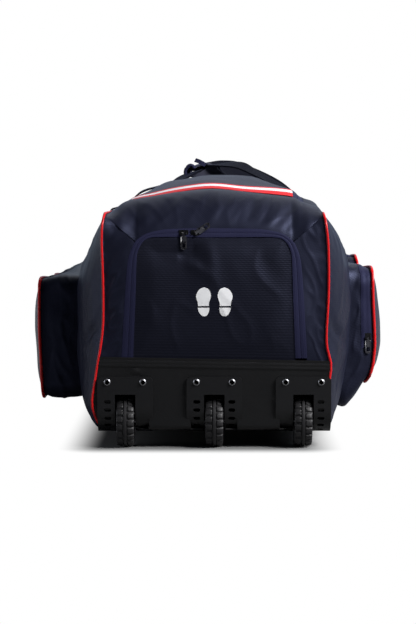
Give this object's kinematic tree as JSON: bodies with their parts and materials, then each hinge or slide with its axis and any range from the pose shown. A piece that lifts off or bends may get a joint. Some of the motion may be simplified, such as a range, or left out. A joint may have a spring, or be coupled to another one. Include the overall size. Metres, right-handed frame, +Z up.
{
  "type": "wheeled hockey equipment bag",
  "caption": "Soft wheeled kit bag with a zipped domed lid, an end shoe pocket, side pockets, webbing carry handles, a tow grip, end wheels and skid feet.",
  "frame": {"origin": "on the floor, under the middle of the bag's box", "axes": "+X right as seen facing the wheel end, +Y from the wheel end to the far end, +Z up"},
  "size_m": [0.55, 0.933, 0.4403],
  "materials": {
    "navy_fabric": "woven polyester, coated behind",
    "lining": "thin woven lining",
    "zip_tape": "woven zip tape with a ribbed face",
    "piping": "glossy extruded vinyl",
    "ribbon": "red, white and red grosgrain",
    "vinyl": "satin coated vinyl",
    "board": "pressed sheet",
    "webbing": "woven webbing",
    "wrap": "padded cloth with a bound edge",
    "slider": "black enamel on zinc",
    "plastic": "moulded, fine grain",
    "tyre": "moulded rubber",
    "steel": "bright nickel plate"
  },
  "bodies": {
    "bag": {"wheel_end_panel": "navy_fabric", "far_end_panel": "navy_fabric", "left_side_panel": "navy_fabric", "right_side_panel": "navy_fabric", "wheel_end_shoulder": "navy_fabric", "far_end_shoulder": "navy_fabric", "top_rails": "navy_fabric", "left_front_gusset": "navy_fabric", "left_rear_gusset": "navy_fabric", "right_front_gusset": "navy_fabric", "right_rear_gusset": "navy_fabric", "shoe_pocket_liner": "lining", "lid_zip_outer_tape": "zip_tape", "shoe_zip_outer_tape": "zip_tape", "left_piping": "piping", "right_piping": "piping", "wheel_end_vinyl": "vinyl", "base_panel": "vinyl", "base_board": "board", "webbing_anchors": "webbing", "left_wheel_plate": "plastic", "middle_wheel_plate": "plastic", "right_wheel_plate": "plastic", "wheel_housings": "plastic", "left_skid_foot": "plastic", "right_skid_foot": "plastic", "axles": "steel", "screws": "steel", "nuts": "steel"},
    "lid": {"lid_panel": "navy_fabric", "lid_zip_inner_tape": "zip_tape", "striped_ribbons": "ribbon"},
    "lid_slider_near": {"lid_slider_near": "slider"},
    "lid_slider_far": {"lid_slider_far": "slider"},
    "shoe_flap": {"shoe_pocket_flap": "navy_fabric", "shoe_zip_inner_tape": "zip_tape"},
    "shoe_slider_left": {"shoe_slider_left": "slider"},
    "shoe_slider_right": {"shoe_slider_right": "slider"},
    "shoe_pull_left": {"shoe_pull_left": "slider"},
    "shoe_pull_right": {"shoe_pull_right": "slider"},
    "left_handle": {"left_handle": "webbing", "handle_wrap": "wrap"},
    "right_handle": {"right_handle": "webbing"},
    "tow_handle": {"tow_strap": "webbing", "tow_grip": "plastic"},
    "right_front_pull": {"right_front_pull": "slider"},
    "left_wheel": {"left_hub": "plastic", "left_tyre": "tyre"},
    "middle_wheel": {"middle_hub": "plastic", "middle_tyre": "tyre"},
    "right_wheel": {"right_hub": "plastic", "right_tyre": "tyre"},
    "left_front_cover": {"left_front_cover": "navy_fabric"},
    "left_front_slider": {"left_front_slider": "slider"},
    "left_rear_cover": {"left_rear_cover": "navy_fabric"},
    "left_rear_slider": {"left_rear_slider": "slider"},
    "right_front_cover": {"right_front_cover": "navy_fabric"},
    "right_front_slider": {"right_front_slider": "slider"},
    "right_rear_cover": {"right_rear_cover": "navy_fabric"},
    "right_rear_slider": {"right_rear_slider": "slider"}
  },
  "joints": [
    {"name": "left_wheel_spin", "type": "hinge", "parent": "bag", "child": "left_wheel", "pos_m": [-0.135, -0.4275, 0.039], "axis": [1, 0, 0], "continuous": true},
    {"name": "middle_wheel_spin", "type": "hinge", "parent": "bag", "child": "middle_wheel", "pos_m": [0, -0.4275, 0.039], "axis": [1, 0, 0], "continuous": true},
    {"name": "right_wheel_spin", "type": "hinge", "parent": "bag", "child": "right_wheel", "pos_m": [0.135, -0.4275, 0.039], "axis": [1, 0, 0], "continuous": true},
    {"name": "lid_open", "type": "hinge", "parent": "bag", "child": "lid", "pos_m": [-0.13, -0.0115, 0.3834], "axis": [0, -1, 0], "range_deg": [0, 150], "deforming": ["left_handle", "right_handle", "handle_wrap"]},
    {"name": "lid_slider_near_slide", "type": "slide", "parent": "lid", "child": "lid_slider_near", "axis": [0, -1, 0], "range_m": [0, 0.05]},
    {"name": "lid_slider_far_slide", "type": "slide", "parent": "lid", "child": "lid_slider_far", "axis": [0, 1, 0], "range_m": [0, 0.05]},
    {"name": "shoe_flap_open", "type": "hinge", "parent": "bag", "child": "shoe_flap", "pos_m": [0, -0.4515, 0.138], "axis": [1, 0, 0], "range_deg": [0, 120]},
    {"name": "shoe_slider_left_slide", "type": "slide", "parent": "shoe_flap", "child": "shoe_slider_left", "axis": [-1, 0, 0], "range_m": [0, 0.036]},
    {"name": "shoe_slider_right_slide", "type": "slide", "parent": "shoe_flap", "child": "shoe_slider_right", "axis": [1, 0, 0], "range_m": [0, 0.108]},
    {"name": "shoe_pull_left_swing", "type": "hinge", "parent": "shoe_slider_left", "child": "shoe_pull_left", "pos_m": [-0.046, -0.4558, 0.326], "axis": [-1, 0, 0], "range_deg": [0, 160]},
    {"name": "shoe_pull_right_swing", "type": "hinge", "parent": "shoe_slider_right", "child": "shoe_pull_right", "pos_m": [-0.028, -0.4558, 0.326], "axis": [0.5446, 0, -0.8387], "range_deg": [0, 120]},
    {"name": "left_handle_swing", "type": "hinge", "parent": "bag", "child": "left_handle", "pos_m": [-0.168, -0.0115, 0.368], "axis": [0, -1, 0], "range_deg": [0, 170]},
    {"name": "right_handle_swing", "type": "hinge", "parent": "bag", "child": "right_handle", "pos_m": [0.168, -0.0115, 0.368], "axis": [0, 1, 0], "range_deg": [0, 170]},
    {"name": "tow_handle_swing", "type": "hinge", "parent": "bag", "child": "tow_handle", "pos_m": [0, 0.4335, 0.286], "axis": [1, 0, 0], "range_deg": [0, 140]},
    {"name": "left_front_cover_open", "type": "hinge", "parent": "bag", "child": "left_front_cover", "pos_m": [-0.268, -0.1815, 0.066], "axis": [0, -1, 0], "range_deg": [0, 100]},
    {"name": "left_front_slider_slide", "type": "slide", "parent": "bag", "child": "left_front_slider", "axis": [0, 0, 1], "range_m": [0, 0.06]},
    {"name": "left_rear_cover_open", "type": "hinge", "parent": "bag", "child": "left_rear_cover", "pos_m": [-0.268, 0.1485, 0.068], "axis": [0, -1, 0], "range_deg": [0, 100]},
    {"name": "left_rear_slider_slide", "type": "slide", "parent": "bag", "child": "left_rear_slider", "axis": [0, 0, 1], "range_m": [0, 0.06]},
    {"name": "right_front_cover_open", "type": "hinge", "parent": "bag", "child": "right_front_cover", "pos_m": [0.252, -0.1815, 0.092], "axis": [0, 1, 0], "range_deg": [0, 100]},
    {"name": "right_front_slider_slide", "type": "slide", "parent": "bag", "child": "right_front_slider", "axis": [0, 0, 1], "range_m": [0, 0.08]},
    {"name": "right_rear_cover_open", "type": "hinge", "parent": "bag", "child": "right_rear_cover", "pos_m": [0.252, 0.1485, 0.088], "axis": [0, 1, 0], "range_deg": [0, 100]},
    {"name": "right_rear_slider_slide", "type": "slide", "parent": "bag", "child": "right_rear_slider", "axis": [0, 0, 1], "range_m": [0, 0.08]},
    {"name": "right_front_pull_swing", "type": "hinge", "parent": "right_front_slider", "child": "right_front_pull", "pos_m": [0.2415, -0.3344, 0.16], "axis": [-1, 0, 0], "range_deg": [0, 150]}
  ]
}
